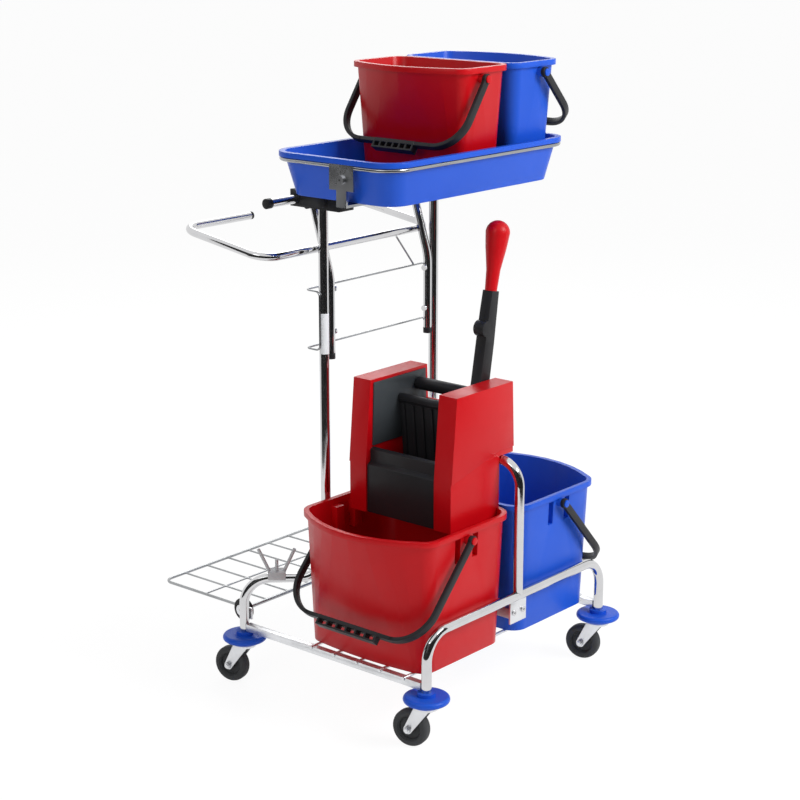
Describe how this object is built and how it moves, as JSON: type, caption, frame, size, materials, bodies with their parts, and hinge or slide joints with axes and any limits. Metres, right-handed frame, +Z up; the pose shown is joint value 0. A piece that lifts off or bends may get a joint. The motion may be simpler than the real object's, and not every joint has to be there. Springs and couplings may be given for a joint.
{
  "type": "double mop bucket trolley",
  "caption": "Mop trolley with red and blue buckets side by side, a lever wringer, a top tray with small buckets, a bag ring, a folding bag platform and swivel castors",
  "frame": {"origin": "On the floor, under the middle of the whole outline seen from above", "axes": "+X from the red bucket to the blue bucket along the trolley, +Y to the rear where the user stands and the bag hangs, +Z up"},
  "size_m": [0.6609, 0.8054, 1.2646],
  "materials": {
    "chrome": "polished chrome tube and wire",
    "zinc": "pale bright zinc",
    "steel": "bright steel",
    "tyre": "dark grey solid rubber",
    "blue": "moulded satin gloss",
    "red": "moulded satin gloss",
    "black": "fine moulded grain",
    "charcoal": "fine moulded grain",
    "grey": "smooth moulded"
  },
  "bodies": {
    "frame": {"front_rail": "chrome", "rear_frame_red": "chrome", "rear_frame_blue": "chrome", "cross_tube": "chrome", "end_bar_red": "zinc", "end_bar_blue": "zinc", "support_rods": "zinc", "tie_bar": "zinc", "tie_screws": "chrome", "centre_hoop": "chrome", "bumpers": "blue", "platform_brackets": "zinc", "mop_fork": "grey", "handle_leg_red": "chrome", "handle_leg_blue": "chrome", "handle_bar": "chrome", "handle_caps": "black", "leg_plugs": "black", "leg_bolts": "chrome", "clamp_red": "black", "clamp_blue": "black", "bag_ring": "chrome", "ring_plugs": "black", "wire_rack": "chrome", "tray_frame": "chrome", "tray_screws": "steel", "tray": "blue", "red_bucket": "red", "blue_bucket": "blue", "small_red_bucket": "red", "small_blue_bucket": "blue", "wringer_shell": "red", "wringer_liner": "charcoal", "wringer_panel": "black", "press_pin": "steel"},
    "castor_1": {"castor_fork_1": "zinc", "castor_axle_1": "steel"},
    "wheel_1": {"castor_wheel_1": "tyre"},
    "castor_2": {"castor_fork_2": "zinc", "castor_axle_2": "steel"},
    "wheel_2": {"castor_wheel_2": "tyre"},
    "castor_3": {"castor_fork_3": "zinc", "castor_axle_3": "steel"},
    "wheel_3": {"castor_wheel_3": "tyre"},
    "castor_4": {"castor_fork_4": "zinc", "castor_axle_4": "steel"},
    "wheel_4": {"castor_wheel_4": "tyre"},
    "red_bail_body": {"red_bail": "black"},
    "blue_bail_body": {"blue_bail": "black"},
    "small_red_bail_body": {"small_red_bail": "black"},
    "small_blue_bail_body": {"small_blue_bail": "black"},
    "platform": {"bag_platform": "chrome", "platform_bushes": "black"},
    "lever": {"lever_arm": "black", "lever_grip": "red", "lever_shaft": "steel", "cross_roller": "black"},
    "press": {"press_plate": "black"}
  },
  "joints": [
    {"name": "castor_swivel_1", "type": "hinge", "parent": "frame", "child": "castor_1", "pos_m": [-0.285, -0.35725, 0.1], "axis": [0, 0, 1], "continuous": true},
    {"name": "wheel_spin_1", "type": "hinge", "parent": "castor_1", "child": "wheel_1", "pos_m": [-0.29165, -0.32595, 0.0375], "axis": [0.9781, 0.2079, 0], "continuous": true},
    {"name": "castor_swivel_2", "type": "hinge", "parent": "frame", "child": "castor_2", "pos_m": [0.285, -0.35725, 0.1], "axis": [0, 0, 1], "continuous": true},
    {"name": "wheel_spin_2", "type": "hinge", "parent": "castor_2", "child": "wheel_2", "pos_m": [0.27835, -0.32595, 0.0375], "axis": [0.9781, 0.2079, 0], "continuous": true},
    {"name": "castor_swivel_3", "type": "hinge", "parent": "frame", "child": "castor_3", "pos_m": [-0.285, 0.12775, 0.1], "axis": [0, 0, 1], "continuous": true},
    {"name": "wheel_spin_3", "type": "hinge", "parent": "castor_3", "child": "wheel_3", "pos_m": [-0.29165, 0.15905, 0.0375], "axis": [0.9781, 0.2079, 0], "continuous": true},
    {"name": "castor_swivel_4", "type": "hinge", "parent": "frame", "child": "castor_4", "pos_m": [0.285, 0.12775, 0.1], "axis": [0, 0, 1], "continuous": true},
    {"name": "wheel_spin_4", "type": "hinge", "parent": "castor_4", "child": "wheel_4", "pos_m": [0.27835, 0.15905, 0.0375], "axis": [0.9781, 0.2079, 0], "continuous": true},
    {"name": "red_bail_swing", "type": "hinge", "parent": "frame", "child": "red_bail_body", "pos_m": [-0.151, -0.18375, 0.3843], "axis": [0, 1, 0], "range_deg": [0, 126]},
    {"name": "blue_bail_swing", "type": "hinge", "parent": "frame", "child": "blue_bail_body", "pos_m": [0.151, -0.18375, 0.3843], "axis": [0, -1, 0], "range_deg": [0, 137]},
    {"name": "small_red_bail_swing", "type": "hinge", "parent": "frame", "child": "small_red_bail_body", "pos_m": [0.004, -0.10975, 1.2426], "axis": [0, 1, 0], "range_deg": [0, 140]},
    {"name": "small_blue_bail_swing", "type": "hinge", "parent": "frame", "child": "small_blue_bail_body", "pos_m": [0.191, -0.10975, 1.2426], "axis": [0, -1, 0], "range_deg": [0, 132]},
    {"name": "platform_fold", "type": "hinge", "parent": "frame", "child": "platform", "pos_m": [0, 0.14975, 0.15], "axis": [1, 0, 0], "range_deg": [0, 90]},
    {"name": "lever_pull", "type": "hinge", "parent": "frame", "child": "lever", "pos_m": [-0.0053, -0.18375, 0.6253], "axis": [0, -1, 0], "range_deg": [0, 70]},
    {"name": "press_swing", "type": "hinge", "parent": "frame", "child": "press", "pos_m": [-0.0443, -0.18375, 0.4573], "axis": [0, -1, 0], "range_deg": [0, 23.8]}
  ],
  "couplings": [
    {"joint": "press_swing", "follows": "lever_pull", "ratio": 0.34}
  ]
}
